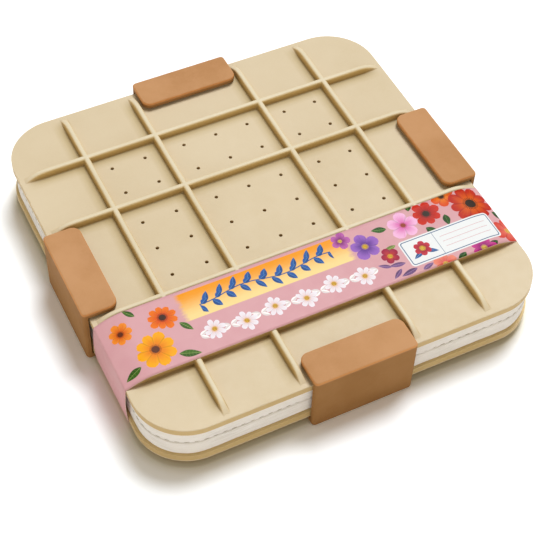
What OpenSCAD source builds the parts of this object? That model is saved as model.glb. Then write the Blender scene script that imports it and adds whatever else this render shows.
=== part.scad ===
// Flower press: two ribbed plates squeeze felt pads and cloth liners between them.
// Four push-on clips hold the plates together and a card band goes round the stack.
// Millimetres, +Z up, X along the band, origin in the middle of the base.

/* [Plates] */
// Side of the square plates
plate_side = 229; // [200:1:260]
// Radius of the plates' corners
plate_corner_r = 29; // [16:1:38]
// Thickness of a plate between its ribs
plate_t = 4.4; // [3:0.1:6]
// Rounding of the plates' outer edges
plate_edge_r = 1.2; // [0.4:0.1:1.4]

/* [Ribs] */
// Height of the ribs above the plate
rib_h = 4; // [3:0.1:6]
// Thickness of a rib
rib_t = 2.5; // [1.6:0.1:4]
// Rounding along the top of a rib
rib_top_r = 0.6; // [0.2:0.1:0.7]
// Slanted foot on each side of a rib where it meets the plate
rib_foot = 0.6; // [0.2:0.1:1.2]
// Distance between the two inner ribs, middle to middle
middle_bay = 66; // [56:1:72]
// Distance from an inner rib to the outer rib beside it
side_bay = 42.2; // [34:0.1:46]
// Length over which a rib's end curves down to the plate
rib_ramp = 18.5; // [10:0.5:24]
// Bare rim between the end of a rib and the plate's edge
rim_w = 2; // [1.5:0.1:5]

/* [Vents] */
// Diameter of the vent holes
vent_d = 2; // [1:0.1:4]
// Distance between neighbouring vent holes
vent_pitch = 20; // [12:0.5:20]

/* [Pads and liners] */
// Thickness of one felt pad
pad_t = 9.2; // [5:0.1:12]
// How far the pads stay back from the plates' edge
pad_inset = 2; // [1:0.1:5]
// Rounding of the pads' outer edges
pad_edge_r = 1.8; // [0.5:0.1:2.4]
// Thickness of one cloth liner
liner_t = 0.5; // [0.3:0.1:1]
// How far the liners stay back from the plates' edge
liner_inset = 3; // [1:0.1:8]

/* [Clips] */
// Thickness of a clip's outer wall
clip_wall_t = 3; // [2:0.1:5]
// How far a clip's arms reach in over the plates
clip_grip = 16.5; // [10:0.5:20]
// Room between a clip's end and the inner rib beside it
clip_side_room = 2.25; // [0.5:0.05:5]
// Depth of the bead that bears on the plate at the tip of an arm
bead_h = 1.4; // [0.8:0.1:2]
// Thickness of that bead along the arm
bead_w = 3; // [2:0.1:4]
// Rounding of the corners at the tips of the arms, seen from above
clip_tip_r = 6; // [2.5:0.5:10]
// Rounding of a clip's other outer edges
clip_edge_r = 1.6; // [0.5:0.1:2]

/* [Card band] */
// Thickness of the card
card_t = 0.4; // [0.3:0.1:0.8]
// Gap between the band and the inner rib behind it
band_back_gap = 0.95; // [0.3:0.05:3]
// How far the band stands out in front of the outer rib under it
band_front_over = 2.75; // [0:0.05:6]
// Radius of the outward bulge of the band's sides
band_side_r = 36; // [30:1:90]

/* [Hidden] */
$fn = 64;
// Run of every cut past the face that it opens
overrun = 1;
// Running gap between a clip's wall and the plates' edge
clip_gap = 0.8;
// Running gap under a clip's beads
bead_gap = 0.1;
// Running gap between the band and what it slides over
band_gap = 0.15;
// How far the clips stand proud of the band, so that the press lies on its clips
clip_proud = 0.2;
// Rounding inside a clip, between its wall and its arms
slot_r = 0.8;
// Chords in each bend of the band
bend_steps = 6;

half_side = plate_side/2;
outer_rib = middle_bay/2 + side_bay;
rib_places = [-outer_rib, -middle_bay/2, middle_bay/2, outer_rib];
rib_end = half_side - rim_w;
rib_flat = rib_end - rib_ramp;
// Arc that is level at the end of the flat stretch and meets the plate at the rib's end
ramp_r = (rib_ramp*rib_ramp + rib_h*rib_h)/(2*rib_h);
// How deep a rib is rooted in its plate
rib_sink = plate_t/2;

bay_mid = middle_bay/2 + side_bay/2;
vent_places = [for (k = [-1, 0, 1]) k*vent_pitch,
               for (bay = [-1, 1], k = [-1, 1]) bay*bay_mid + k*vent_pitch/2];

// Distance from the middle plane to the plates' outer faces, and to the outer faces of the clips
stack_half = pad_t + liner_t + plate_t;
clip_half = stack_half + rib_h + band_gap + card_t + clip_proud;
mid_z = clip_half;
arm_tip = half_side - clip_grip;
wall_in = half_side + clip_gap;
wall_out = wall_in + clip_wall_t;
clip_len = middle_bay - rib_t - 2*clip_side_room;

band_back = -(middle_bay/2 + rib_t/2 + band_back_gap);
band_front = -(outer_rib + rib_t/2 + band_front_over);

// Half of a slab's upright section, with its outer edges rounded
module edge_section(reach, t, edge_r) {
    square([reach - edge_r, t]);
    translate([0, edge_r]) square([reach, t - 2*edge_r]);
    for (z = [edge_r, t - edge_r]) translate([reach - edge_r, z]) circle(edge_r);
}

// Square slab with round corners and rounded edges, lying on z = 0
module soft_slab(side, corner_r, t, edge_r) {
    straight = side/2 - corner_r;
    for (turn = [0, 90]) rotate(turn) rotate([90, 0, 0]) linear_extrude(2*straight, center = true) {
        edge_section(side/2, t, edge_r);
        mirror([1, 0]) edge_section(side/2, t, edge_r);
    }
    for (turn = [0, 90, 180, 270]) rotate(turn) translate([straight, straight])
        rotate_extrude(angle = 90) edge_section(corner_r, t, edge_r);
}

// Flat rectangle with round corners, round the origin
module round_rect(size, r) {
    square([size.x - 2*r, size.y], center = true);
    square([size.x, size.y - 2*r], center = true);
    for (x = [-1, 1], y = [-1, 1]) translate([x*(size.x/2 - r), y*(size.y/2 - r)]) circle(r);
}

// Section across a rib: rounded top, straight web and slanted feet
module rib_section() {
    foot_reach = rib_t/2 + rib_foot;
    translate([-rib_t/2, -rib_sink]) square([rib_t, rib_sink + rib_h - rib_top_r]);
    translate([rib_top_r - rib_t/2, 0]) square([rib_t - 2*rib_top_r, rib_h]);
    for (s = [-1, 1]) translate([s*(rib_t/2 - rib_top_r), rib_h - rib_top_r]) circle(rib_top_r);
    polygon([[-foot_reach, -rib_sink], [foot_reach, -rib_sink], [foot_reach, 0], [rib_t/2, rib_foot],
             [-rib_t/2, rib_foot], [-foot_reach, 0]]);
}

// Side view of a rib: level in the middle, curving down to the plate at both ends
module rib_side() {
    intersection() {
        translate([-rib_end, -rib_sink]) square([2*rib_end, rib_sink + rib_h]);
        union() {
            translate([-rib_flat, -rib_sink]) square([2*rib_flat, rib_sink + rib_h]);
            for (s = [-1, 1]) translate([s*rib_flat, rib_h - ramp_r]) circle(ramp_r);
        }
    }
}

// One rib along X, standing on z = 0
module rib() {
    intersection() {
        rotate([90, 0, 90]) linear_extrude(2*rib_end, center = true) rib_section();
        rotate([90, 0, 0]) linear_extrude(rib_t + 2*rib_foot + 2*overrun, center = true) rib_side();
    }
}

// One plate with its inner face on z = 0 and its ribs up. Both plates are the same moulding.
module plate() {
    difference() {
        union() {
            soft_slab(plate_side, plate_corner_r, plate_t, plate_edge_r);
            for (turn = [0, 90], place = rib_places) rotate(turn) translate([0, place, plate_t]) rib();
        }
        for (x = vent_places, y = vent_places)
            translate([x, y, -overrun]) cylinder(d = vent_d, h = plate_t + 2*overrun);
    }
}

// One felt pad on z = 0
module wool_pad() {
    soft_slab(plate_side - 2*pad_inset, plate_corner_r - pad_inset, pad_t, pad_edge_r);
}

// One cloth liner on z = 0
module liner() {
    side = plate_side - 2*liner_inset;
    linear_extrude(liner_t) round_rect([side, side], plate_corner_r - liner_inset);
}

// Section of a clip: local x runs outwards from the middle of the press, y is height
module clip_section() {
    depth = wall_out - arm_tip;
    slot = [wall_in - arm_tip + 2*slot_r + overrun, 2*(stack_half + bead_h)];
    bead_r = bead_w/2;
    difference() {
        translate([arm_tip + depth/2, 0]) round_rect([depth, 2*clip_half], clip_edge_r);
        translate([wall_in - slot.x/2, 0]) round_rect(slot, slot_r);
    }
    bead_mid = stack_half + bead_gap + bead_r;
    for (side = [0, 1]) mirror([0, side]) translate([arm_tip, bead_mid]) {
        translate([bead_r, 0]) circle(bead_r);
        square([bead_w, clip_half - clip_edge_r - bead_mid]);
    }
}

// Clip from above: rounded a little at the wall and more at the tips of its arms
module clip_plan() {
    depth = wall_out - arm_tip;
    tip_depth = depth + 2*clip_tip_r;
    wall_depth = depth + 2*clip_edge_r;
    intersection() {
        translate([0, arm_tip + tip_depth/2]) round_rect([clip_len, tip_depth], clip_tip_r);
        translate([0, wall_out - wall_depth/2]) round_rect([clip_len, wall_depth], clip_edge_r);
    }
}

// A clip pushed onto the back side of the press
module clip() {
    translate([0, 0, mid_z]) intersection() {
        rotate([90, 0, 90]) linear_extrude(clip_len, center = true) clip_section();
        linear_extrude(2*clip_half, center = true) clip_plan();
        rotate([90, 0, 0]) linear_extrude(2*(wall_out + overrun), center = true)
            round_rect([clip_len, 2*clip_half], clip_edge_r);
    }
}

// Points on an arc, with its angles counted from straight up towards +X
function bend(middle, r, from, to) =
    [for (k = [0 : bend_steps]) let (a = from + (to - from)*k/bend_steps) middle + r*[sin(a), cos(a)]];

// A quarter of the band's section, from the middle of its top to the middle of its right side:
// over the rib's ramp, straight to the plate's edge, round that edge and out along the bulge
function band_quarter(r_more) =
    let (ramp_mid = [rib_flat, stack_half + rib_h - ramp_r],
         edge_mid = [half_side - plate_edge_r, stack_half - plate_edge_r],
         side_reach = band_side_r - plate_edge_r,
         side_mid = [edge_mid.x - sqrt(side_reach*side_reach - edge_mid.y*edge_mid.y), 0],
         away = edge_mid - ramp_mid,
         leave = atan2(away.x, away.y) - acos((ramp_r - plate_edge_r)/norm(away)),
         turn = atan2(edge_mid.x - side_mid.x, edge_mid.y))
    concat(bend(ramp_mid, ramp_r + r_more, 0, leave),
           bend(edge_mid, plate_edge_r + r_more, leave, turn),
           bend(side_mid, band_side_r + r_more, turn, 90));

function band_loop(r_more) =
    let (quarter = band_quarter(r_more), last = len(quarter) - 1)
    concat([for (k = [0 : last]) quarter[k]],
           [for (k = [last - 1 : -1 : 0]) [quarter[k].x, -quarter[k].y]],
           [for (k = [0 : last]) -quarter[k]],
           [for (k = [last - 1 : -1 : 0]) [-quarter[k].x, quarter[k].y]]);

// Card band round the stack
module sleeve() {
    color("#dba6a8") translate([0, band_back, mid_z]) rotate([90, 0, 0])
        linear_extrude(band_back - band_front) difference() {
            polygon(band_loop(band_gap + card_t));
            polygon(band_loop(band_gap));
        }
}

module bottom_plate() {
    color("#dec99f") translate([0, 0, mid_z - stack_half + plate_t]) mirror([0, 0, 1]) plate();
}
module top_plate() {
    color("#dec99f") translate([0, 0, mid_z + stack_half - plate_t]) plate();
}
module lower_wool_pad() {
    color("#e9e4d8") translate([0, 0, mid_z - liner_t - pad_t]) wool_pad();
}
module upper_wool_pad() {
    color("#e9e4d8") translate([0, 0, mid_z + liner_t]) wool_pad();
}
module lower_liner() {
    color("#f5f2ea") translate([0, 0, mid_z - liner_t]) liner();
}
module upper_liner() {
    color("#f5f2ea") translate([0, 0, mid_z]) liner();
}
module clip_back() {
    color("#c4936a") clip();
}
module clip_left() {
    color("#c4936a") rotate(90) clip();
}
module clip_front() {
    color("#c4936a") rotate(180) clip();
}
module clip_right() {
    color("#c4936a") rotate(270) clip();
}

bottom_plate();
lower_wool_pad();
lower_liner();
upper_liner();
upper_wool_pad();
top_plate();
clip_front();
clip_right();
clip_back();
clip_left();
sleeve();
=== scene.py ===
# Flower press: two ribbed plates, felt between them, four clips and a printed card band.
import math

import bmesh
import bpy
from mathutils import Color, Matrix, Vector, noise


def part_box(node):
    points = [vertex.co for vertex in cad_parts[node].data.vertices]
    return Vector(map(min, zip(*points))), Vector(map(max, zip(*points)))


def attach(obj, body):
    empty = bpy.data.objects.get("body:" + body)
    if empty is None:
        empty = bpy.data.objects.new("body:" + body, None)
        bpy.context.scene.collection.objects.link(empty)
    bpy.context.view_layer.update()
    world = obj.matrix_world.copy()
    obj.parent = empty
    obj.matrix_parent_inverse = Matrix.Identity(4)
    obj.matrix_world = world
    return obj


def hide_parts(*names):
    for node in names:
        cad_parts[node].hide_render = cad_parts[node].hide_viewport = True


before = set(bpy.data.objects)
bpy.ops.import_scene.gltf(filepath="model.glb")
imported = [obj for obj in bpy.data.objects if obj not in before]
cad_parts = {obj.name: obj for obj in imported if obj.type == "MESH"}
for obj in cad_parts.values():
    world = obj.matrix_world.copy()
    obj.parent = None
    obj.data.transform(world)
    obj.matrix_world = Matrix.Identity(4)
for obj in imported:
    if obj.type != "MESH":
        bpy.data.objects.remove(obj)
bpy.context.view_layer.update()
mm = 0.001
hair = 1e-3  # tolerance for places, in mm
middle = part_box("upper_liner")[0].z / mm  # height of the plane between the liners, in mm
print("frame loaded, middle plane at", round(middle, 2), "mm")


# helpers for meshes, all in millimetres until makePiece

def cutLines(bm, places, directions=((1, 0, 0), (0, 1, 0))):
    for place in places:
        for direction in directions:
            bmesh.ops.bisect_plane(bm, geom=bm.verts[:] + bm.edges[:] + bm.faces[:], dist=1e-4,
                                   plane_co=Vector(direction) * place, plane_no=direction)


def cutGrid(bm, pitch, count=10):  # as many lines on each side of the middle
    cutLines(bm, [step * pitch for step in range(-count, count + 1)])


def roundedSheet(side, cornerRadius, segments):
    bm = bmesh.new()
    bmesh.ops.create_grid(bm, x_segments=1, y_segments=1, size=side / 2)
    bmesh.ops.bevel(bm, geom=bm.verts[:], affect="VERTICES", offset=cornerRadius, offset_type="OFFSET",
                    segments=segments, profile=0.5, material=-1)
    return bm


def extrudeAll(bm, rise):
    made = bmesh.ops.extrude_face_region(bm, geom=bm.faces[:])
    lifted = [part for part in made["geom"] if isinstance(part, bmesh.types.BMVert)]
    bmesh.ops.translate(bm, verts=lifted, vec=(0, 0, rise))


def bevelEdges(bm, edges, offset, segments):
    bmesh.ops.bevel(bm, geom=edges, affect="EDGES", offset=offset, offset_type="OFFSET", segments=segments,
                    profile=0.5, clamp_overlap=True, material=-1)


def sharpEdges(bm, degrees=50):
    bm.normal_update()
    return [edge for edge in bm.edges
            if len(edge.link_faces) == 2 and edge.calc_face_angle() > math.radians(degrees)]


def pullFaces(bm, faces, way):  # each face by itself
    made = bmesh.ops.extrude_discrete_faces(bm, faces=faces)["faces"]
    bmesh.ops.translate(bm, verts=[vert for face in made for vert in face.verts], vec=way)


def settle(bm, rise):  # up to its place, counted from the middle plane
    bmesh.ops.translate(bm, verts=bm.verts, vec=(0, 0, middle + rise))
    bmesh.ops.recalc_face_normals(bm, faces=bm.faces[:])


def makePiece(name, bm, materials, body, node=None, weighted=True):
    bmesh.ops.scale(bm, vec=(mm, mm, mm), verts=bm.verts)
    mesh = bpy.data.meshes.new(name)
    bm.to_mesh(mesh)
    bm.free()
    for material in materials:
        mesh.materials.append(material)
    mesh.shade_smooth()
    piece = bpy.data.objects.new(name, mesh)
    bpy.context.collection.objects.link(piece)
    if weighted:  # keeps the flats flat beside the small rounds
        piece.modifiers.new("Weighted", "WEIGHTED_NORMAL")
    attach(piece, body)
    if node:
        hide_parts(node)
    return piece


# helpers for materials

def tone(code):
    red, green, blue = (int(code[at:at + 2], 16) / 255 for at in (1, 3, 5))
    return (*Color((red, green, blue)).from_srgb_to_scene_linear(), 1)


def feed(tree, node, inputs):
    for key, value in dict(inputs).items():
        if isinstance(value, bpy.types.NodeSocket):
            tree.links.new(value, node.inputs[key])
        else:
            node.inputs[key].default_value = value


def wire(tree, kind, inputs=(), out=0, **settings):
    node = tree.nodes.new("ShaderNode" + kind)
    for key, value in settings.items():
        setattr(node, key, value)
    feed(tree, node, inputs)
    return node.outputs[out]


def calc(tree, operation, *values):
    return wire(tree, "Math", enumerate(values), operation=operation)


def vectorCalc(tree, operation, *values, out="Vector"):
    return wire(tree, "VectorMath", enumerate(values), out=out, operation=operation)


def axes(tree, point):
    node = tree.nodes.new("ShaderNodeSeparateXYZ")
    tree.links.new(point, node.inputs[0])
    return node.outputs


def clamped(tree, operation, *values):
    return wire(tree, "Math", enumerate(values), operation=operation, use_clamp=True)


def beyond(tree, high, low, sharpness):  # 1 where high is over low, with a soft edge
    return clamped(tree, "MULTIPLY", calc(tree, "SUBTRACT", high, low), sharpness)


def offFrom(tree, value, center):
    return calc(tree, "ABSOLUTE", calc(tree, "SUBTRACT", value, center))


def outsideOf(tree, away, half):  # how far a place lies outside a rectangle round the origin
    past = vectorCalc(tree, "SUBTRACT", vectorCalc(tree, "ABSOLUTE", away), half)
    past = vectorCalc(tree, "MULTIPLY", vectorCalc(tree, "MAXIMUM", past, (0, 0, 0)), (1, 1, 0))
    return vectorCalc(tree, "LENGTH", past, out="Value")


def mixed(tree, share, first, second, way="MIX"):
    return wire(tree, "Mix", {0: share, 6: first, 7: second}, out=2, data_type="RGBA", blend_type=way)


def spread(tree, value, fromLow, fromHigh, toLow=0.0, toHigh=1.0):
    return wire(tree, "MapRange", {0: value, 1: fromLow, 2: fromHigh, 3: toLow, 4: toHigh},
                interpolation_type="SMOOTHSTEP")


def grain(tree, point, scale, detail=2.0, roughness=0.5):
    return wire(tree, "TexNoise", {"Vector": point, "Scale": scale, "Detail": detail, "Roughness": roughness})


def stripes(tree, point, scale, distortion, direction):
    return wire(tree, "TexWave", {"Vector": point, "Scale": scale, "Distortion": distortion}, out="Fac",
                bands_direction=direction)


def stretched(tree, point, scale):
    return wire(tree, "Mapping", {"Vector": point, "Scale": scale})


def startMaterial(name, constants):
    material = bpy.data.materials.new(name)
    material.use_nodes = True
    tree = material.node_tree
    shader = tree.nodes["Principled BSDF"]
    feed(tree, shader, constants)
    return material, tree, shader


def bumps(tree, shader, *layers):
    normal = None
    for height, distance, strength in layers:
        inputs = {"Height": height, "Distance": distance, "Strength": strength}
        if normal:
            inputs["Normal"] = normal
        normal = wire(tree, "Bump", inputs)
    tree.links.new(normal, shader.inputs["Normal"])


# moulded plastics

plasticLook = {
    "ior": 1.48, "cloudRange": (0.32, 0.68), "speckScale": 950, "speckRange": (0.3, 0.7),
    "flowScale": 48, "flowRange": (0.35, 0.7), "sheenScale": 220, "sheenRange": (0.25, 0.75),
    "waves": (45, 0.0006, 0.12), "pores": (2300, 0.00003, 0.35),  # scale, height and strength
}


def plasticMaterial(name, look):
    look = {**plasticLook, **look}
    material, tree, shader = startMaterial(name, {"IOR": look["ior"], "Specular IOR Level": look["gloss"]})
    place = wire(tree, "TexCoord", out="Object")
    cloud = spread(tree, grain(tree, place, look["cloudScale"], 3), *look["cloudRange"])
    speck = spread(tree, grain(tree, place, look["speckScale"], 3, 0.6), *look["speckRange"])
    flow = spread(tree, grain(tree, place, look["flowScale"], 4, 0.65), *look["flowRange"])
    color = mixed(tree, cloud, tone(look["deep"]), tone(look["main"]))
    color = mixed(tree, calc(tree, "MULTIPLY", flow, look["flow"]), color, tone(look["pale"]))
    color = mixed(tree, calc(tree, "MULTIPLY", speck, look["speckle"]), color, tone(look["pale"]))
    height = calc(tree, "SUBTRACT", axes(tree, place)["Z"], middle * mm)
    if look["mirrored"]:  # the same above and below the felt
        height = calc(tree, "ABSOLUTE", height)
    # painted shade and painted highlights in bands of height
    for start, full, end, gone, tint in look["layers"]:
        inside = calc(tree, "MULTIPLY", spread(tree, height, start * mm, full * mm),
                      spread(tree, height, end * mm, gone * mm, 1, 0))
        color = mixed(tree, inside, color, (*tint, 1), "MULTIPLY")
    # painted shading read from the mesh's tint attribute
    if look["tinted"]:
        paintedShading = wire(tree, "Attribute", out="Color", attribute_name="tint")
        color = mixed(tree, 1.0, color, paintedShading, "MULTIPLY")
    tree.links.new(color, shader.inputs["Base Color"])
    satin = spread(tree, grain(tree, place, look["sheenScale"], 4, 0.7), *look["sheenRange"], *look["sheen"])
    tree.links.new(satin, shader.inputs["Roughness"])
    bumps(tree, shader, *((grain(tree, place, scale, 2), rise, strength)
                          for scale, rise, strength in (look["waves"], look["pores"])))
    return material


# the two plates

plateLook = {
    "side": 229, "cornerRadius": 29, "cornerSteps": 16, "thickness": 4.4, "edgeRound": 0.9,
    "floorHeight": 14.1,  # from the middle plane to the outer face
    "ribs": (-75.2, -33, 33, 75.2), "ribWidth": 3.3, "ribHeight": 4, "draft": 0.3,
    "footRound": 0.6, "crestRound": 1.2,
    "rampStart": 98, "ribEnd": 113.6, "rampPower": 2.3, "rampSteps": 9,
    "vents": (-64.1, -44.1, -20, 0, 20, 44.1, 64.1), "ventRadius": 1.0, "ventLip": 0.2,
    "ventMargin": 0.9, "ventRing": 0.5,  # flat left round each vent in the mesh
    # painted shade at each share of a rib's height, darkest at the foot, and a painted highlight on top
    "ribPaintedShading": ((0, (1, 1, 1)), (0.02, (0.52, 0.42, 0.22)), (0.25, (0.7, 0.56, 0.31)),
                 (0.7, (0.91, 0.77, 0.45)), (0.87, (1.01, 0.91, 0.67)), (1, (1.08, 1.14, 1.21))),
    "tintFade": 1.2,  # over 1, the tint runs on down the ribs' ends
    # painted shadow on the plate at each distance from a rib's foot, on the side away from the lamp
    "footPaintedShadow": ((0, (0.56, 0.51, 0.36)), (1.6, (0.75, 0.71, 0.57)), (3.4, (0.89, 0.87, 0.78)),
                  (6.4, (1, 1, 1))),
    # painted shade inside the vents
    "ventPaintedShade": (0.36, 0.24, 0.1),  # inside the vents
}
platePlastic = plasticMaterial("platePlastic", {
    "main": "#dac6a3", "deep": "#d4bf9a", "pale": "#dfcdad", "flow": 0.2,
    # start, full, end, gone and tint by height from the middle plane: painted light on the inner face,
    # painted shade on the rim's side, a painted highlight along its top edge
    "layers": ((-2, -1, 9.75, 9.95, (1.1, 1.03, 0.78)), (9.75, 9.95, 13.2, 13.7, (0.9, 0.79, 0.55)),
               (13.6, 13.7, 13.95, 14.08, (1.05, 1.07, 1.1))),
    "mirrored": True, "tinted": True, "cloudScale": 14, "speckle": 0.12, "gloss": 0.28,
    "sheen": (0.42, 0.56),
})


def tintAt(tints, place):
    for (low, first), (high, second) in zip(tints, tints[1:]):
        if place <= high:
            return Vector(first).lerp(Vector(second), (place - low) / (high - low))
    return Vector(tints[-1][1])


def makePlate(name, node, upper):
    look = plateLook
    ribs, vents = look["ribs"], look["vents"]
    reach = look["ribWidth"] / 2 + look["draft"] + look["footRound"]
    cell = look["ventRadius"] + look["ventMargin"]
    rampWidth = look["ribEnd"] - look["rampStart"]
    ramp = [look["rampStart"] + step * rampWidth / look["rampSteps"] for step in range(look["rampSteps"] + 1)]
    bm = roundedSheet(look["side"], look["cornerRadius"], look["cornerSteps"])
    cutLines(bm, [rib + side * reach for rib in ribs for side in (-1, 1)])
    cutLines(bm, [side * place for place in ramp for side in (-1, 1)])
    cutLines(bm, [vent + side * cell for vent in vents for side in (-1, 1)])
    cutLines(bm, [rib - reach - away for rib in ribs for away, shade in look["footPaintedShadow"][1:]])

    spots = [Vector((x, y, 0)) for x in vents for y in vents]
    for spot in spots:
        patch = min(bm.faces, key=lambda face: (face.calc_center_median() - spot).length_squared)
        bmesh.ops.inset_individual(bm, faces=[patch], thickness=look["ventRing"], use_even_offset=True)
        bmesh.ops.subdivide_edges(bm, edges=patch.edges[:], cuts=3)
        for vert in patch.verts:
            vert.co = spot + (vert.co - spot).normalized() * look["ventRadius"]
        bmesh.ops.delete(bm, geom=[patch], context="FACES")
    extrudeAll(bm, -look["thickness"])

    def underRib(face):
        at = face.calc_center_median()
        return abs(at.z) < hair and any(
            abs(across - rib) < reach and abs(along) < look["ribEnd"]
            for across, along in (at.xy, at.yx) for rib in ribs)

    crest = [face for face in bm.faces if underRib(face)]
    foot, top, shoulder = look["footRound"], look["crestRound"], look["ribHeight"] - look["crestRound"]
    profile = [(0, 0)]  # how far in and how far up, from a rib's foot to its crest
    profile += [(foot * math.sin(turn), foot * (1 - math.cos(turn)))
                for turn in (math.pi / 6, math.pi / 3, math.pi / 2)]
    profile += [(foot + look["draft"] + top * (1 - math.cos(turn)), shoulder + top * math.sin(turn))
                for turn in (0, math.pi / 8, math.pi / 4, math.pi * 3 / 8, math.pi / 2)]
    for (inBefore, low), (inAfter, high) in zip(profile, profile[1:]):
        bmesh.ops.inset_region(bm, faces=crest, thickness=inAfter - inBefore, use_even_offset=True,
                               use_boundary=True)
        lifted = {vert for face in crest for vert in face.verts}
        bmesh.ops.translate(bm, verts=list(lifted), vec=(0, 0, high - low))
    rampLength = look["ribEnd"] - profile[-1][0] - look["rampStart"]

    def heightLeft(along):  # the ribs' ends curve down to the rim
        return max(1 - (max(abs(along) - look["rampStart"], 0) / rampLength) ** look["rampPower"], 0)

    def footDistance(across):  # to the next rib towards the lamp
        gaps = [rib - reach - across for rib in ribs]
        return max(min([gap for gap in gaps if gap > -hair], default=look["side"]), 0)

    def atVent(at):
        return min((spot.xy - at.xy).length for spot in spots) < look["ventRadius"] + hair

    # the tint attribute carries the plate's painted shading: shade and highlight on the ribs, shadow beside
    # them, shade in the vents
    tint, plain = bm.verts.layers.float_color.new("tint"), Vector((1, 1, 1))
    for vert in bm.verts:
        color = plain
        if vert.co.z > hair:
            # painted shade down the ribs' sides, darkest at the foot, and a painted highlight on their crests
            left = heightLeft(max(abs(vert.co.x), abs(vert.co.y)))
            paintedShading = tintAt(look["ribPaintedShading"], vert.co.z / look["ribHeight"])
            color = plain.lerp(paintedShading, min(left * look["tintFade"], 1))
            vert.co.z *= left
        elif vert.co.z > -hair:
            # painted shadow on the plate beside the ribs, on the side away from the lamp
            for across, along in (vert.co.xy, vert.co.yx):
                color = color * plain.lerp(tintAt(look["footPaintedShadow"], footDistance(across)), heightLeft(along))
        elif atVent(vert.co):
            # painted shade inside the vents
            color = look["ventPaintedShade"]
        vert[tint] = (*color, 1)

    bmesh.ops.recalc_face_normals(bm, faces=bm.faces[:])
    bm.normal_update()
    rim, lips = [], []
    for edge in bm.edges:  # where a level face meets an upright wall
        faces = sorted(edge.link_faces, key=lambda face: abs(face.normal.z))
        if len(faces) == 2 and abs(faces[0].normal.z) < 0.01 and abs(faces[1].normal.z) > 0.99:
            wall = faces[0].calc_center_median()
            if max(abs(wall.x), abs(wall.y)) > look["rampStart"]:
                rim.append(edge)
            elif atVent(edge.verts[0].co):
                lips.append(edge)
    bevelEdges(bm, rim, look["edgeRound"], segments=4)
    bevelEdges(bm, [edge for edge in lips if edge.is_valid], look["ventLip"], segments=2)
    if not upper:
        bmesh.ops.scale(bm, vec=(1, 1, -1), verts=bm.verts)
    settle(bm, look["floorHeight"] * (1 if upper else -1))
    makePiece(name, bm, [platePlastic], "press", node)


makePlate("topRibbedPlate", "top_plate", True)
makePlate("bottomRibbedPlate", "bottom_plate", False)
print("plates moulded")


# felt pads with a stitched seam, and the cloths between them

padLook = {
    "side": 226, "cornerRadius": 27.5, "cornerSteps": 16, "thickness": 9.2, "start": 0.5, "edgeRound": 1.0,
    "bulge": 0.3, "girdle": 1.6, "wobble": 0.22, "wobbleScale": 0.11, "cutPitch": 8,
    "lipDrop": 0.38,  # the rim swells round the cloths' edges, towards the other pad
}
stitchLook = {"length": 2.9, "pitch": 5.0, "thickness": 0.4, "height": 1.45, "standOff": 0.1,
              "lean": 0.05, "leanStep": 2.4}
linerLook = {"side": 223, "cornerRadius": 26, "cornerSteps": 12, "thickness": 0.42, "start": 0.04,
             "wobble": 0.03, "wobbleScale": 0.05, "cutPitch": 10}
feltLook = {
    "combed": ("#dfd5c9", "#fdf7f1"), "clouded": "#f7efe6", "fuzzed": "#fffcf8", "fuzzShare": 0.3,
    "fibreStretch": (70, 70, 1500), "fuzzScale": 1400, "cloudScale": 60,
}
cottonLook = {"weave": ("#d9d3c4", "#f6f3ea"), "slub": "#cfc7b5", "weaveScale": 420,
              "slubStretch": (30, 900, 30)}
threadLook = {"twist": ("#aaa08d", "#c8c0ae"), "twistScale": 900}


def feltMaterial():
    look = feltLook
    material, tree, shader = startMaterial("woolFelt", {
        "Roughness": 0.95, "Specular IOR Level": 0.2, "Sheen Weight": 0.5, "Sheen Roughness": 0.5})
    place = wire(tree, "TexCoord", out="Object")
    fibre = grain(tree, stretched(tree, place, look["fibreStretch"]), 1, 5, 0.65)
    fuzz = grain(tree, place, look["fuzzScale"], 4, 0.7)
    cloud = grain(tree, place, look["cloudScale"], 3)
    color = mixed(tree, spread(tree, fibre, 0.35, 0.62), *map(tone, look["combed"]))
    color = mixed(tree, spread(tree, cloud, 0.3, 0.7), color, tone(look["clouded"]))
    fuzzed = calc(tree, "MULTIPLY", spread(tree, fuzz, 0.35, 0.75), look["fuzzShare"])
    color = mixed(tree, fuzzed, color, tone(look["fuzzed"]))
    tree.links.new(color, shader.inputs["Base Color"])
    bumps(tree, shader, (fibre, 0.0005, 0.5), (fuzz, 0.0003, 0.5))
    return material


def clothMaterial():
    look = cottonLook
    material, tree, shader = startMaterial("cottonWeave", {"Roughness": 0.9, "Sheen Weight": 0.2})
    place = wire(tree, "TexCoord", out="Object")
    weave = calc(tree, "MAXIMUM", *(stripes(tree, place, look["weaveScale"], 0.6, way) for way in "XY"))
    slub = grain(tree, stretched(tree, place, look["slubStretch"]), 1, 3)
    color = mixed(tree, weave, *map(tone, look["weave"]))
    color = mixed(tree, spread(tree, slub, 0.55, 0.75, 0, 0.4), color, tone(look["slub"]))
    tree.links.new(color, shader.inputs["Base Color"])
    bumps(tree, shader, (weave, 0.0002, 0.6))
    return material


def threadMaterial():
    look = threadLook
    material, tree, shader = startMaterial("seamThread", {"Roughness": 0.8, "Specular IOR Level": 0.3})
    twist = stripes(tree, wire(tree, "TexCoord", out="Object"), look["twistScale"], 1.5, "DIAGONAL")
    tree.links.new(mixed(tree, twist, *map(tone, look["twist"])), shader.inputs["Base Color"])
    bumps(tree, shader, (twist, 0.0001, 0.5))
    return material


felt = feltMaterial()
cotton = clothMaterial()
thread = threadMaterial()


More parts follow.
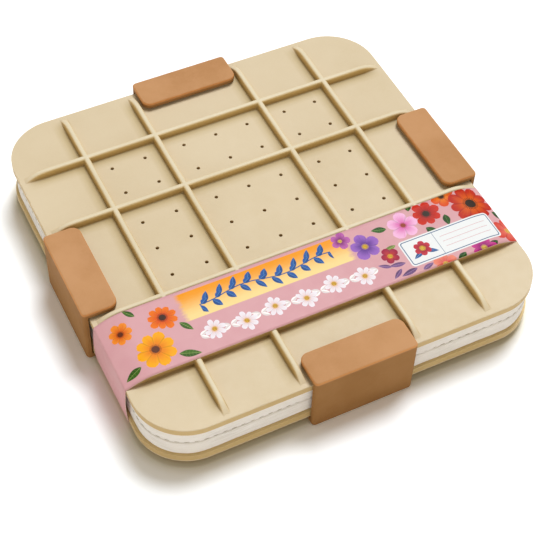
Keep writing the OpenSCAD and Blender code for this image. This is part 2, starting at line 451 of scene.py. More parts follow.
def makePad(name, node, upper):
    look = padLook
    bm = roundedSheet(look["side"], look["cornerRadius"], look["cornerSteps"])
    cutGrid(bm, look["cutPitch"])
    extrudeAll(bm, look["thickness"])
    bmesh.ops.recalc_face_normals(bm, faces=bm.faces[:])
    bevelEdges(bm, sharpEdges(bm, 60), look["edgeRound"], segments=5)
    halfWay = look["thickness"] / 2
    cutLines(bm, (halfWay - look["girdle"], halfWay, halfWay + look["girdle"]), ((0, 0, 1),))
    bm.normal_update()
    straight = look["side"] / 2 - look["cornerRadius"]
    shift = Vector((0, 0, 9 if upper else 2))  # so that the two pads differ
    for vert in bm.verts:
        core = Vector((*(max(-straight, min(straight, part)) for part in vert.co.xy), vert.co.z))
        away = vert.co - core
        if away.length > look["cornerRadius"] - look["edgeRound"]:
            crown = look["bulge"] * (1 - ((vert.co.z - halfWay) / halfWay) ** 2)
            wave = look["wobble"] * noise.noise(vert.co * look["wobbleScale"] + shift)
            vert.co += away.normalized() * (crown + wave)
            inner = 1 - vert.co.z / halfWay if upper else vert.co.z / halfWay - 1
            vert.co.z += look["lipDrop"] * max(inner, 0) * (-1 if upper else 1)
    settle(bm, look["start"] if upper else -look["start"] - look["thickness"])
    pad = makePiece(name, bm, [felt], "press", node)


def makeLiner(name, node, upper):
    look = linerLook
    bm = roundedSheet(look["side"], look["cornerRadius"], look["cornerSteps"])
    cutGrid(bm, look["cutPitch"])
    extrudeAll(bm, look["thickness"])
    for vert in bm.verts:
        vert.co.z += look["wobble"] * noise.noise(vert.co * look["wobbleScale"])
    settle(bm, look["start"] if upper else -look["start"] - look["thickness"])
    liner = makePiece(name, bm, [cotton], "press", node, weighted=False)


def makeSeam():  # one running stitch after another round the upper pad, close to where the pads meet
    look = stitchLook
    half = padLook["side"] / 2 + look["standOff"]
    corner = padLook["cornerRadius"] + look["standOff"]
    straight = half - corner
    edgeLength, arcLength = 2 * straight, corner * math.pi / 2
    quarterLength = edgeLength + arcLength
    count = round(4 * quarterLength / look["pitch"])
    bm = bmesh.new()
    for number in range(count):
        quarter, along = divmod(number * 4 * quarterLength / count, quarterLength)
        if along < edgeLength:
            at, facing = Vector((half, along - straight, 0)), 0
        else:
            facing = (along - edgeLength) / corner
            at = Vector((straight + corner * math.cos(facing), straight + corner * math.sin(facing), 0))
        turn = Matrix.Rotation(quarter * math.pi / 2, 4, "Z")
        lean = look["lean"] * math.sin(number * look["leanStep"])
        place = Matrix.Translation((0, 0, middle + look["height"])) @ turn @ Matrix.Translation(at)
        place = place @ Matrix.Rotation(facing, 4, "Z") @ Matrix.Rotation(lean, 4, "X")
        place = place @ Matrix.Diagonal((look["thickness"] / 2, look["length"] / 2, look["thickness"] / 2, 1))
        bmesh.ops.create_uvsphere(bm, u_segments=8, v_segments=5, radius=1, matrix=place)
    seam = makePiece("padSeamStitches", bm, [thread], "press", weighted=False)


makePad("lowerFeltPad", "lower_wool_pad", False)
makePad("upperFeltPad", "upper_wool_pad", True)
makeLiner("lowerCottonLiner", "lower_liner", False)
makeLiner("upperCottonLiner", "upper_liner", True)
makeSeam()
print("felt, cloth and stitches laid in")


# push-on clips

clipLook = {
    "length": 59, "armTip": 98, "wallIn": 115.3, "wallOut": 118.3, "half": 18.85, "slotHalf": 15.5,
    "beadBack": 2.2, "beadWidth": 3, "beadIn": 7, "beadHalf": 14.2,
    "tipRound": 5, "cornerRound": 2.2, "edgeRound": 1.2, "innerRound": 0.4,
}
clipPlastic = plasticMaterial("clipPlastic", {
    "main": "#c79466", "deep": "#b98658", "pale": "#cf9c70", "flow": 0.55,
    # as above: painted shade on all but the top, and a painted highlight along the rounded upper edge
    "layers": ((-40, -30, 16.8, 17.8, (0.62, 0.6, 0.48)), (17.4, 17.9, 18.4, 18.8, (1.16, 1.02, 0.8))),
    "mirrored": False, "tinted": False, "cloudScale": 22, "speckle": 0.12, "gloss": 0.02,
    "sheen": (0.45, 0.58),
})


def makeClip(name, node, body, turn):
    look = clipLook
    thick = look["wallOut"] - look["wallIn"]
    bm = bmesh.new()
    bmesh.ops.create_cube(bm, size=1, matrix=Matrix.Translation((0, look["wallIn"] + thick / 2, 0))
                          @ Matrix.Diagonal((look["length"], thick, 2 * look["half"], 1)))
    cutLines(bm, (-look["slotHalf"], look["slotHalf"]), ((0, 0, 1),))
    bm.normal_update()
    ends = [face for face in bm.faces
            if face.normal.y < -0.9 and abs(face.calc_center_median().z) > look["slotHalf"]]
    pullFaces(bm, ends, (0, look["armTip"] - look["wallIn"], 0))
    for depth, offset, segments in ((look["armTip"], look["tipRound"], 8),
                                    (look["wallOut"], look["cornerRound"], 5)):
        upright = [edge for edge in bm.edges
                   if all(abs(vert.co.y - depth) < hair for vert in edge.verts)
                   and abs(edge.verts[0].co.x - edge.verts[1].co.x) < hair]
        bevelEdges(bm, upright, offset, segments)
    beadStart, beadReach = look["armTip"] + look["beadBack"], look["length"] / 2 - look["beadIn"]
    beadEnd = beadStart + look["beadWidth"]
    cutLines(bm, (beadStart, beadEnd), ((0, 1, 0),))
    cutLines(bm, (-beadReach, beadReach), ((1, 0, 0),))
    bm.normal_update()

    def underArm(face, side):  # where the grip bead stands, out of sight under the arm's tip
        at = face.calc_center_median()
        return (face.normal.z * side < -0.9 and abs(at.z - side * look["slotHalf"]) < hair
                and beadStart < at.y < beadEnd and abs(at.x) < beadReach)

    for side in (-1, 1):
        under = [face for face in bm.faces if underArm(face, side)]
        pullFaces(bm, under, (0, 0, side * (look["beadHalf"] - look["slotHalf"])))
    bmesh.ops.recalc_face_normals(bm, faces=bm.faces[:])
    outer = [edge for edge in sharpEdges(bm) if all(
        abs(vert.co.z) > look["half"] - hair or vert.co.y > look["wallOut"] - hair for vert in edge.verts)]
    bevelEdges(bm, outer, look["edgeRound"], segments=5)
    bevelEdges(bm, sharpEdges(bm), look["innerRound"], segments=2)
    bmesh.ops.rotate(bm, verts=bm.verts, cent=(0, 0, 0), matrix=Matrix.Rotation(math.radians(turn), 3, "Z"))
    settle(bm, 0)
    makePiece(name, bm, [clipPlastic], body, node)


makeClip("backPushClip", "clip_back", "back_clip", 0)
makeClip("leftPushClip", "clip_left", "left_clip", 90)
makeClip("frontPushClip", "clip_front", "front_clip", 180)
makeClip("rightPushClip", "clip_right", "right_clip", 270)
print("clips made")


# printed card band. Its wrap map is in centimetres: along the band from the top's middle, and across it

bandLook = {
    "back": -35.2, "front": -78.2, "card": 0.4, "gap": 0.15, "rampStart": 98, "rampRadius": 30.88,
    "floorHeight": 14.1, "ribHeight": 4, "halfSide": 114.5, "edgeRound": 1.2, "sideRadius": 110,
    "rows": 22, "topSteps": 12, "arcSteps": (12, 8, 10),
}


def arc(center, radius, start, end, count):
    turns = [start + (end - start) * step / count for step in range(count + 1)]
    return [Vector(center) + radius * Vector((math.sin(turn), math.cos(turn))) for turn in turns]


def bandQuarter():  # from the middle of the top to the middle of the right side
    look = bandLook
    radius, edgeRound, more = look["rampRadius"], look["edgeRound"], look["gap"] + look["card"]
    ramp = Vector((look["rampStart"], look["floorHeight"] + look["ribHeight"] - radius))
    edge = Vector((look["halfSide"] - edgeRound, look["floorHeight"] - edgeRound))
    side = Vector((edge.x - math.sqrt((look["sideRadius"] - edgeRound) ** 2 - edge.y ** 2), 0))
    away = edge - ramp
    leave = math.atan2(away.x, away.y) - math.acos((radius - edgeRound) / away.length)
    turn = math.atan2(edge.x - side.x, edge.y)
    top = [Vector((look["rampStart"] * step / look["topSteps"], ramp.y + radius + more))
           for step in range(look["topSteps"])]
    rampSteps, edgeSteps, sideSteps = look["arcSteps"]
    return (top + arc(ramp, radius + more, 0, leave, rampSteps)
            + arc(edge, edgeRound + more, leave, turn, edgeSteps)
            + arc(side, look["sideRadius"] + more, turn, math.pi / 2, sideSteps)[1:])


def makeBand(materials):
    look = bandLook
    quarter = bandQuarter()
    half = quarter + [Vector((point.x, -point.y)) for point in reversed(quarter[:-1])]
    loop = [Vector((-point.x, point.y)) for point in reversed(half[1:-1])]
    loop = [half[-1]] + loop + half[:-1]  # starts and ends under the band, where the card is glued
    bm = bmesh.new()
    order = bm.verts.layers.int.new("order")
    ring = [bm.verts.new((point.x, look["back"], point.y)) for point in loop]
    for number, vert in enumerate(ring):
        vert[order] = number
    front = [bm.edges.new(ends) for ends in zip(ring, ring[1:] + ring[:1])]
    for row in range(look["rows"]):
        made = bmesh.ops.extrude_edge_only(bm, edges=front)["geom"]
        front = [part for part in made if isinstance(part, bmesh.types.BMEdge)
                 and all(vert in made for vert in part.verts)]
        bmesh.ops.translate(bm, verts=[part for part in made if isinstance(part, bmesh.types.BMVert)],
                            vec=(0, (look["front"] - look["back"]) / look["rows"], 0))
    travel = [0.0]
    for here, there in zip(loop, loop[1:] + loop[:1]):
        travel.append(travel[-1] + (there - here).length)
    top = travel[loop.index(quarter[0])]
    acrossMiddle = (look["front"] + look["back"]) / 2
    wrap = bm.loops.layers.uv.new("wrap")
    for face in bm.faces:
        numbers = [vert[order] for vert in face.verts]
        overSeam = max(numbers) - min(numbers) > 1
        for corner in face.loops:
            number = corner.vert[order]
            along = travel[-1 if overSeam and number == 0 else number]
            corner[wrap].uv = ((along - top) / 10, (corner.vert.co.y - acrossMiddle) / 10)
    bm.normal_update()
    highest = max(bm.faces, key=lambda face: face.calc_center_median().z)
    if highest.normal.z < 0:
        bmesh.ops.reverse_faces(bm, faces=bm.faces[:])
    bmesh.ops.translate(bm, verts=bm.verts, vec=(0, 0, middle))
    band = makePiece("printedCardBand", bm, materials, "band", "sleeve", weighted=False)
    wall = band.modifiers.new("Card", "SOLIDIFY")
    wall.thickness = look["card"] * mm
    wall.offset = -1
    wall.material_offset_rim = 1


# print on the band: every form is drawn over the one before it

def newGroup(name, inputs):
    tree = bpy.data.node_groups.new(name, "ShaderNodeTree")
    for label, kind in inputs:
        tree.interface.new_socket(name=label, in_out="INPUT", socket_type="NodeSocket" + kind)
    tree.interface.new_socket(name="Color", in_out="OUTPUT", socket_type="NodeSocketColor")
    given = tree.nodes.new("NodeGroupInput").outputs
    result = tree.nodes.new("NodeGroupOutput").inputs[0]
    return tree, given, result


flowerLook = {
    "petalShares": (0.16, 0.84), "notchPower": 2.6, "ruffle": 0.12, "edge": 40,
    "streakStretch": (5, 1.3), "streakScale": 1.6, "streakShare": 0.55, "foldDepth": 0.68,
    "stamens": 26, "stamenReach": 1.45, "stamenShare": 0.75, "seedScale": 24, "seed": "#3a2412",
}


def flowerGroup():
    look = flowerLook
    tree, given, result = newGroup("printedFlower", (
        ("Under", "Color"), ("Point", "Vector"), ("Middle", "Vector"), ("Radius", "Float"), ("Turn", "Float"),
        ("Petals", "Float"), ("Notch", "Float"), ("Inner", "Color"), ("Outer", "Color"), ("Heart", "Color"),
        ("HeartShare", "Float")))
    away = vectorCalc(tree, "SUBTRACT", given["Point"], given["Middle"])
    reach = calc(tree, "DIVIDE", vectorCalc(tree, "LENGTH", away, out="Value"), given["Radius"])
    local = axes(tree, away)
    angle = calc(tree, "ADD", calc(tree, "ARCTAN2", local["Y"], local["X"]), given["Turn"])
    turns = calc(tree, "MULTIPLY", angle, calc(tree, "DIVIDE", given["Petals"], 2 * math.pi))
    phase = calc(tree, "FRACT", turns)
    petal = calc(tree, "FLOORED_MODULO", calc(tree, "FLOOR", turns), given["Petals"])
    chance = wire(tree, "TexWhiteNoise", {"W": calc(tree, "MULTIPLY_ADD", given["Radius"], 9.7, petal)},
                  out="Value", noise_dimensions="1D")
    side = calc(tree, "ABSOLUTE", calc(tree, "MULTIPLY_ADD", phase, 2, -1))
    dip = calc(tree, "MULTIPLY", calc(tree, "POWER", side, look["notchPower"]), given["Notch"])
    acrossPetal, alongPetal = look["streakStretch"]
    streakPoint = wire(tree, "CombineXYZ", {
        0: calc(tree, "MULTIPLY", turns, acrossPetal), 1: calc(tree, "MULTIPLY", reach, alongPetal),
        2: given["Radius"]})
    streak = grain(tree, streakPoint, look["streakScale"], 3, 0.6)
    ruffle = calc(tree, "MULTIPLY", calc(tree, "SUBTRACT", streak, 0.5), look["ruffle"])
    edge = calc(tree, "MULTIPLY", calc(tree, "MULTIPLY_ADD", chance, *look["petalShares"]),
                calc(tree, "SUBTRACT", 1, dip))
    edge = calc(tree, "ADD", edge, ruffle)
    shown = beyond(tree, edge, reach, look["edge"])
    outward = spread(tree, calc(tree, "DIVIDE", reach, edge), 0.1, 0.95)
    color = mixed(tree, outward, given["Inner"], given["Outer"])
    color = mixed(tree, spread(tree, streak, 0.5, 0.8, 0, look["streakShare"]), color, given["Inner"])
    fold = spread(tree, phase, 0, 0.2, look["foldDepth"], 1)
    pale = wire(tree, "CombineColor", {0: fold, 1: calc(tree, "MULTIPLY", fold, 0.94), 2: fold})
    color = mixed(tree, 0.85, color, pale, "MULTIPLY")
    spokes = calc(tree, "FRACT", calc(tree, "MULTIPLY", angle, look["stamens"] / (2 * math.pi)))
    stamen = calc(tree, "GREATER_THAN", spokes, 0.5)
    stamenReach = calc(tree, "MULTIPLY", given["HeartShare"], look["stamenReach"])
    ringed = calc(tree, "MULTIPLY", stamen, beyond(tree, stamenReach, reach, 30))
    color = mixed(tree, calc(tree, "MULTIPLY", ringed, look["stamenShare"]), color, given["Heart"])
    seeds = grain(tree, away, look["seedScale"], 2, 0.7)
    heart = mixed(tree, spread(tree, seeds, 0.4, 0.6, 0, 0.6), given["Heart"], tone(look["seed"]))
    color = mixed(tree, beyond(tree, given["HeartShare"], reach, look["edge"]), color, heart)
    tree.links.new(mixed(tree, shown, given["Under"], color), result)
    return tree


leafLook = {"taper": (-0.5, 1.25), "edge": 45, "halves": (0.8, 1.12), "veins": 7, "veinShare": 0.5,
            "midrib": 0.018, "midribEdge": 60}


def leafGroup():
    look = leafLook
    tree, given, result = newGroup("printedLeaf", (
        ("Under", "Color"), ("Point", "Vector"), ("Base", "Vector"), ("Turn", "Float"), ("Length", "Float"),
        ("Width", "Float"), ("Fill", "Color"), ("Vein", "Color")))
    away = vectorCalc(tree, "SUBTRACT", given["Point"], given["Base"])
    back = calc(tree, "MULTIPLY", given["Turn"], -1)
    local = axes(tree, wire(tree, "VectorRotate", {"Vector": away, "Angle": back}, rotation_type="Z_AXIS"))
    along = calc(tree, "DIVIDE", local["X"], given["Length"])
    bow = calc(tree, "MULTIPLY", calc(tree, "MULTIPLY", along, 4), calc(tree, "SUBTRACT", 1, along))
    taper = calc(tree, "MAXIMUM", calc(tree, "MULTIPLY_ADD", along, *look["taper"]), 0.1)
    half = calc(tree, "MULTIPLY", calc(tree, "MULTIPLY", bow, taper),
                calc(tree, "MULTIPLY", given["Width"], 0.5))
    across = calc(tree, "ABSOLUTE", local["Y"])
    shown = beyond(tree, half, across, look["edge"])
    lit = spread(tree, local["Y"], -0.02, 0.02, *look["halves"])
    color = mixed(tree, 1.0, given["Fill"], wire(tree, "CombineColor", {0: lit, 1: lit, 2: lit}), "MULTIPLY")
    slant = calc(tree, "DIVIDE", across, given["Width"])
    rows = calc(tree, "FRACT", calc(tree, "SUBTRACT", calc(tree, "MULTIPLY", along, look["veins"]), slant))
    color = mixed(tree, spread(tree, rows, 0.86, 1, 0, look["veinShare"]), color, given["Vein"])
    color = mixed(tree, beyond(tree, look["midrib"], across, look["midribEdge"]), color, given["Vein"])
    tree.links.new(mixed(tree, shown, given["Under"], color), result)
    return tree


def panelGroup():
    tree, given, result = newGroup("printedPanel", (
        ("Under", "Color"), ("Point", "Vector"), ("Middle", "Vector"), ("Half", "Vector"),
        ("Corner", "Float"), ("Fill", "Color"), ("Edge", "Float")))
    away = vectorCalc(tree, "SUBTRACT", given["Point"], given["Middle"])
    core = vectorCalc(tree, "SUBTRACT", given["Half"], given["Corner"])
    shown = beyond(tree, given["Corner"], outsideOf(tree, away, core), given["Edge"])
    tree.links.new(mixed(tree, shown, given["Under"], given["Fill"]), result)
    return tree


def after(tree, point, color):  # moves the point by less than a hair, so that forms are worked out one by one
    return vectorCalc(tree, "MULTIPLY_ADD", color, (1e-7, 1e-7, 1e-7), point)


def drawn(tree, group, inputs):
    node = tree.nodes.new("ShaderNodeGroup")
    node.node_tree = group
    feed(tree, node, {**inputs, "Point": after(tree, inputs["Point"], inputs["Under"])})
    return node.outputs[0]


printLook = {
    "ground": ("#dba5a8", "#d8a0a4"), "mottleScale": 90, "sheenScale": 300, "sheen": (0.38, 0.5),
    # lengths in centimetres
    "washMiddle": (-2.2, 1.05), "washHalf": (5.0, 0.92), "washDeep": "#f59a0c", "washPale": "#fadb92",
    "washGrain": (2.2, 7, 1), "washRagged": 0.5, "washDepth": (0.25, 1.9),
    "garlandHalf": 3.9, "stemWaves": 1.35, "stemSwing": 0.16, "stemHalf": 0.045,
    "garlandPitch": 0.86, "garlandWidth": 0.36, "stem": "#1f4f8f", "garland": ("#1d5296", "#5f8fc9"),
    "garlandLeaves": ((0.0, 62, 0.78), (0.42, -58, 0.74), (0.2, 30, 0.5)),  # shift, turn, length
    "rowMiddle": (-1.7, -0.95), "rowHalf": 5.15, "rowPitch": 1.72, "rowWaves": 1.9, "rowSwing": 0.12,
    # a leaf has its length, width, fill and vein, a flower the values of the list below from its radius on
    "rowTurns": (25, 155, -35, 205), "rowLeaf": (0.55, 0.24, "#fbf3ef", "#e8c9c4"),
    "rowFlower": (0.66, 0.3, 8, 0.42, "#ecd2cc", "#f3f1f0", "#e9b23c", 0.22),
    "badgeMiddle": (8.0, -0.74), "badgeSprig": (-1.7, -0.1), "badgeTurns": (-25, 205),
    "badgeLeaf": (0.85, 0.3, "#1f4f8f", "#8fb0d4"),
    "badgeFlower": (0.56, 0.2, 6, 0.3, "#8e1426", "#c62f3e", "#f0c43a", 0.24), "badgeFlowerRise": 0.15,
    # shift, rise, half length, half height, corner and fill of the badge's panels and lines
    "badgePanels": (
        (0, 0, 2.8, 0.92, 0.22, "#efefed"), (0, 0, 2.71, 0.83, 0.16, "#2c5680"),
        (0, 0, 2.66, 0.78, 0.13, "#efefed"), (-0.75, 0, 0.025, 0.8, 0.01, "#2c5680"),
        (0.95, -0.36, 1.4, 0.02, 0.01, "#c8505c"), (0.95, 0, 1.4, 0.02, 0.01, "#c8505c"),
        (0.95, 0.36, 1.4, 0.02, 0.01, "#c8505c"),
    ),
    # middle, radius, turn, petals, notch, inner, outer, heart, share of the heart
    "flowers": (
        (-9.25, -0.75, 1.15, 0.2, 8, 0.24, "#e87c0a", "#fbb008", "#6a300c", 0.2),
        (-8.15, 0.95, 0.85, 0.9, 9, 0.26, "#d64608", "#f07a12", "#3d1a0a", 0.24),
        (-10.5, 0.9, 0.72, 0.4, 7, 0.28, "#d85c14", "#f4922e", "#6c2c12", 0.22),
        (3.55, 0.7, 0.95, 0.3, 5, 0.34, "#5a3088", "#9a68be", "#e8b830", 0.16),
        (2.5, 1.6, 0.62, 0.8, 5, 0.34, "#7c226c", "#be66ac", "#ecc646", 0.16),
        (4.45, -0.45, 0.6, 0.1, 5, 0.3, "#c0342a", "#9c103c", "#e8b830", 0.2),
        (9.1, 2.1, 0.85, 0.2, 6, 0.26, "#e87c10", "#dc4c06", "#3d1f08", 0.2),
        (6.15, 1.15, 1.05, 0.5, 5, 0.36, "#dd6fb0", "#f6bfdc", "#a8442a", 0.15),
        (7.7, 1.35, 0.9, 1.1, 7, 0.28, "#a4140a", "#cc2c10", "#281a08", 0.24),
        (10.35, 1.0, 1.35, 0.75, 9, 0.22, "#e06408", "#b81c04", "#241606", 0.24),
        (11.4, -1.35, 1.05, 0.3, 6, 0.28, "#e06c58", "#d04838", "#ecbc50", 0.15),
        (9.35, -2.05, 0.8, 0.9, 5, 0.32, "#8c126a", "#c8388a", "#ecc450", 0.18),
        (6.9, -2.15, 0.75, 0.2, 6, 0.3, "#d8504a", "#ec8a6c", "#f2c860", 0.18),
    ),
    # base, turn in degrees, length, width, fill, vein
    "leaves": (
        (-8.3, -1.5, -20, 1.2, 0.46, "#3c6216", "#94ab58"),
        (-10.3, -1.4, 200, 1.1, 0.44, "#345814", "#94ab58"),
        (-7.5, 0.3, -55, 0.9, 0.36, "#3c6216", "#9cb064"),
        (-9.4, 1.6, 130, 0.8, 0.34, "#345814", "#94ab58"),
        (7.2, 0.5, -60, 0.9, 0.5, "#21490c", "#6a9440"),
        (6.9, 1.9, 70, 0.8, 0.42, "#21490c", "#6a9440"),
        (5.2, 1.3, 165, 0.9, 0.42, "#2a5314", "#86ab58"),
        (8.6, 0.9, -100, 0.8, 0.42, "#1d430a", "#5f8638"),
        (11.3, 0.2, -50, 1.0, 0.5, "#1b3d0a", "#5f8638"),
        (11.5, 1.7, 40, 1.0, 0.5, "#21490c", "#6a9440"),
        (10.3, -1.9, -160, 0.9, 0.42, "#1b3d0a", "#5f8638"),
        (8.3, -1.9, -150, 0.8, 0.4, "#1d430a", "#5f8638"),
        (11.9, 0.9, 5, 0.9, 0.46, "#1d430a", "#5f8638"),
        (5.1, 0.1, 190, 0.9, 0.3, "#76883a", "#b4bf7c"),
        (5.2, -0.6, 20, 0.8, 0.26, "#76883a", "#b4bf7c"),
        (5.0, -1.2, 172, 1.0, 0.32, "#74507e", "#ab88b2"),
        (4.6, -1.45, 215, 0.85, 0.28, "#6a4574", "#ab88b2"),
        (4.2, -1.15, 150, 0.8, 0.27, "#74507e", "#ab88b2"),
        (5.4, -1.75, 190, 1.1, 0.34, "#62406c", "#a582ac"),
        (5.6, -2.0, 15, 0.8, 0.3, "#74507e", "#ab88b2"),
    ),
}


def printMaterial():
    material, tree, shader = startMaterial("printedCard", {
        "Specular IOR Level": 0.12, "Coat Weight": 0.03, "Coat Roughness": 0.3})
    look = printLook
    flower, leaf, panel = flowerGroup(), leafGroup(), panelGroup()
    place = wire(tree, "TexCoord", out="Object")
    point = wire(tree, "UVMap", uv_map="wrap")
    along, across = axes(tree, point)[:2]

    def repeated(pitch, shift, height):  # the place within each stretch of the band
        step = calc(tree, "FRACT", calc(tree, "DIVIDE", calc(tree, "ADD", along, shift), pitch))
        local = calc(tree, "MULTIPLY", calc(tree, "SUBTRACT", step, 0.5), pitch)
        return wire(tree, "CombineXYZ", {0: local, 1: calc(tree, "SUBTRACT", across, height)})

    def waves(rate, swing, height):
        wave = calc(tree, "SINE", calc(tree, "MULTIPLY", along, rate))
        return calc(tree, "MULTIPLY_ADD", wave, swing, height)

    def withLeaf(under, at, base, turn, length, width, fill, vein):
        return drawn(tree, leaf, {
            "Under": under, "Point": at, "Base": (*base, 0), "Turn": math.radians(turn), "Length": length,
            "Width": width, "Fill": tone(fill), "Vein": tone(vein)})

    def withFlower(under, at, center, radius, turn, petals, notch, inner, outer, heart, share):
        return drawn(tree, flower, {
            "Under": under, "Point": at, "Middle": (*center, 0), "Radius": radius, "Turn": turn,
            "Petals": petals, "Notch": notch, "Inner": tone(inner), "Outer": tone(outer),
            "Heart": tone(heart), "HeartShare": share})

    mottle = grain(tree, place, look["mottleScale"], 4)
    color = mixed(tree, spread(tree, mottle, 0.35, 0.7), *map(tone, look["ground"]))

    # soft-ended wash in warm yellow, deeper towards the back
    (x, y), (halfLong, halfHigh) = look["washMiddle"], look["washHalf"]
    blot = grain(tree, stretched(tree, point, look["washGrain"]), 1, 3)
    ragged = calc(tree, "MULTIPLY", calc(tree, "SUBTRACT", blot, 0.5), look["washRagged"])
    acrossOff, alongOff = offFrom(tree, across, y), offFrom(tree, along, x)
    inside = calc(tree, "MULTIPLY", beyond(tree, halfHigh, acrossOff, 30),
                  beyond(tree, calc(tree, "ADD", ragged, halfLong), alongOff, 3))
    depth = calc(tree, "ADD", across, calc(tree, "MULTIPLY", ragged, 0.5))
    depth = spread(tree, depth, *look["washDepth"])
    color = mixed(tree, inside, color, mixed(tree, depth, tone(look["washPale"]), tone(look["washDeep"])))

    # garland of blue leaves along the wash
    stem = waves(look["stemWaves"], look["stemSwing"], y)
    onStem = beyond(tree, look["stemHalf"], offFrom(tree, across, stem), 40)
    garland = mixed(tree, onStem, color, tone(look["stem"]))
    for shift, turn, length in look["garlandLeaves"]:
        garland = withLeaf(garland, repeated(look["garlandPitch"], shift, stem), (-0.2, 0), turn, length,
                           look["garlandWidth"], *look["garland"])
    color = mixed(tree, beyond(tree, look["garlandHalf"], alongOff, 30), color, garland)

    # row of white blossoms in front of it
    x, y = look["rowMiddle"]
    pitch, row = look["rowPitch"], color
    for turn in look["rowTurns"]:
        row = withLeaf(row, repeated(pitch, pitch / 2, y), (0, 0), turn, *look["rowLeaf"])
    blossoms = repeated(pitch, 0.0, waves(look["rowWaves"], look["rowSwing"], y))
    row = withFlower(row, blossoms, (0, 0), *look["rowFlower"])
    color = mixed(tree, beyond(tree, look["rowHalf"], offFrom(tree, along, x), 30), color, row)

    for x, y, *form in look["leaves"]:
        color = withLeaf(color, point, (x, y), *form)
    for x, y, *form in look["flowers"]:
        color = withFlower(color, point, (x, y), *form)

    # white label with a blue line round it, a blossom on its left and ruled lines to write on
    x, y = look["badgeMiddle"]
    for shift, rise, long, high, corner, fill in look["badgePanels"]:
        color = drawn(tree, panel, {
            "Under": color, "Point": point, "Middle": (x + shift, y + rise, 0), "Half": (long, high, 9),
            "Corner": corner, "Fill": tone(fill), "Edge": 60})
    x, y = x + look["badgeSprig"][0], y + look["badgeSprig"][1]
    for turn in look["badgeTurns"]:
        color = withLeaf(color, point, (x, y), turn, *look["badgeLeaf"])
    color = withFlower(color, point, (x, y + look["badgeFlowerRise"]), *look["badgeFlower"])
    tree.links.new(color, shader.inputs["Base Color"])
    sheen = spread(tree, grain(tree, place, look["sheenScale"], 3), 0.3, 0.7, *look["sheen"])
    tree.links.new(sheen, shader.inputs["Roughness"])
    bumps(tree, shader, (grain(tree, place, 70, 2), 0.0004, 0.15),
          (grain(tree, place, 1500, 3, 0.6), 0.00002, 0.4))
    return material


cutEdgeLook = {"plies": (300, 300, 5000), "tones": ("#c9a79c", "#ead2c8")}


def cardEdgeMaterial():
    material, tree, shader = startMaterial("cutCardEdge", {"Roughness": 0.85, "Specular IOR Level": 0.25})
    place = wire(tree, "TexCoord", out="Object")
    plies = grain(tree, stretched(tree, place, cutEdgeLook["plies"]), 1, 3)
    color = mixed(tree, spread(tree, plies, 0.35, 0.65), *map(tone, cutEdgeLook["tones"]))
    tree.links.new(color, shader.inputs["Base Color"])
    bumps(tree, shader, (plies, 0.00005, 0.5))
    return material


makeBand([printMaterial(), cardEdgeMaterial()])
print("band printed and wrapped")


# floor, light and camera

stageLook = {
    "floorHalf": 6,  # in metres
    "floorDrop": 0.05,  # so that no two faces share a plane
    "floorShade": 0.92, "floorSeen": 1.2, "skyTint": (1.0, 0.93, 0.8),
    # painted shadow on the floor at each distance outside the plates' outline, darkest in the narrow gap
    # under them
    "gapPaintedShadow": ((-4.5, (0.42, 0.3, 0.15)), (-0.5, (0.7, 0.64, 0.49)), (2, (0.91, 0.88, 0.8)),
                 (6, (1, 1, 1))),
    "ambient": 0.2, "lowGlow": 0.88, "glowFrom": (-0.5, -0.65, 0),  # brighter low down, in front most
    "keyStrength": 2.5, "keyTint": (0.97, 1.02, 1.085), "keyFrom": (0.38, 0.33, 1.0),
    "keyAngle": 24,  # wide, for the soft shadow of a big lamp
}
cameraLook = {"place": (-0.23394, -0.44984, 0.60859), "turns": (39.0396, -1.3135, -26.1067), "sensor": 36,
              "lens": 94.04}


def seenRay(tree):  # 1 for what the camera sees, also in gloss and through glass
    path = tree.nodes.new("ShaderNodeLightPath").outputs
    return calc(tree, "MAXIMUM", path["Is Camera Ray"],
                calc(tree, "MAXIMUM", path["Is Glossy Ray"], path["Is Transmission Ray"]))


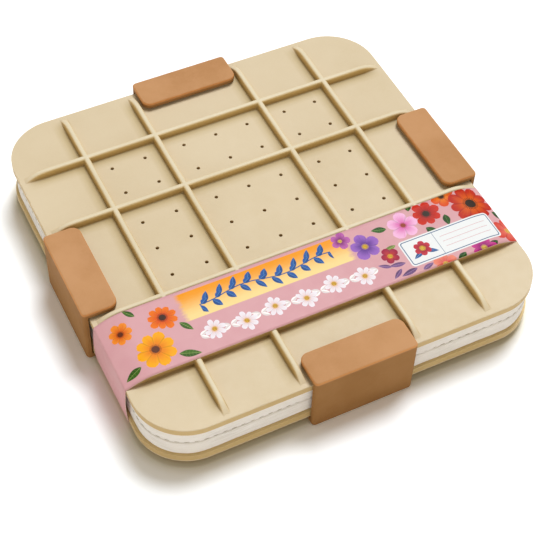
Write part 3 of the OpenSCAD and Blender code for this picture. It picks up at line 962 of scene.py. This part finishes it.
def makeFloor():
    look = stageLook
    material = bpy.data.materials.new("paleFloor")
    material.use_nodes = True
    tree = material.node_tree
    tree.nodes.clear()
    straight = (plateLook["side"] / 2 - plateLook["cornerRadius"]) * mm
    away = outsideOf(tree, wire(tree, "TexCoord", out="Object"), (straight, straight, 0))
    away = calc(tree, "SUBTRACT", away, plateLook["cornerRadius"] * mm)
    # painted shadow on the floor round the plates
    places, tints = zip(*look["gapPaintedShadow"])
    tints = [(*(Vector(tint) * look["floorSeen"]), 1) for tint in tints]
    color = tints[0]
    for near, far, tint in zip(places, places[1:], tints[1:]):
        color = mixed(tree, spread(tree, away, near * mm, far * mm), color, tint)
    # what the camera sees reads white outside the shadow
    shade = look["floorShade"]
    white = mixed(tree, seenRay(tree), (shade, shade, shade, 1), color)
    matt = wire(tree, "BsdfDiffuse", {"Color": white})
    tree.links.new(matt, tree.nodes.new("ShaderNodeOutputMaterial").inputs["Surface"])
    bm = bmesh.new()
    bmesh.ops.create_grid(bm, x_segments=1, y_segments=1, size=look["floorHalf"])
    mesh = bpy.data.meshes.new("floor")
    bm.to_mesh(mesh)
    bm.free()
    mesh.materials.append(material)
    floor = bpy.data.objects.new("floor", mesh)
    floor.location.z = -look["floorDrop"] * mm
    bpy.context.collection.objects.link(floor)


def makeWorld():
    look = stageLook
    world = bpy.data.worlds.new("studio")
    bpy.context.scene.world = world
    world.use_nodes = True
    tree = world.node_tree
    tree.nodes.clear()
    seen = seenRay(tree)
    toward = wire(tree, "TexCoord", out="Generated")
    low = clamped(tree, "SUBTRACT", 1, axes(tree, toward)["Z"])
    front = vectorCalc(tree, "DOT_PRODUCT", toward, look["glowFrom"], out="Value")
    glow = calc(tree, "MULTIPLY", calc(tree, "MULTIPLY", low, low), calc(tree, "ADD", 1, front))
    light = calc(tree, "MULTIPLY_ADD", glow, look["lowGlow"], look["ambient"])
    strength = calc(tree, "ADD", calc(tree, "MULTIPLY", light, calc(tree, "SUBTRACT", 1, seen)), seen)
    warmth = mixed(tree, seen, (*look["skyTint"], 1), (1, 1, 1, 1))
    sky = wire(tree, "Background", {"Color": warmth, "Strength": strength})
    tree.links.new(sky, tree.nodes.new("ShaderNodeOutputWorld").inputs["Surface"])


def makeKey():
    look = stageLook
    sun = bpy.data.lights.new("keyLight", "SUN")
    sun.energy = look["keyStrength"]
    sun.angle = math.radians(look["keyAngle"])
    sun.color = look["keyTint"]
    lamp = bpy.data.objects.new("keyLight", sun)
    bpy.context.collection.objects.link(lamp)
    lamp.rotation_euler = (-Vector(look["keyFrom"])).to_track_quat("-Z", "Y").to_euler()


makeFloor()
makeWorld()
makeKey()

camera = bpy.data.objects.new("camera", bpy.data.cameras.new("camera"))
bpy.context.collection.objects.link(camera)
camera.location = cameraLook["place"]
camera.rotation_euler = [math.radians(turn) for turn in cameraLook["turns"]]
camera.data.sensor_width = cameraLook["sensor"]
camera.data.lens = cameraLook["lens"]
bpy.context.scene.camera = camera
bpy.context.scene.view_settings.view_transform = "Standard"
print("stage set")
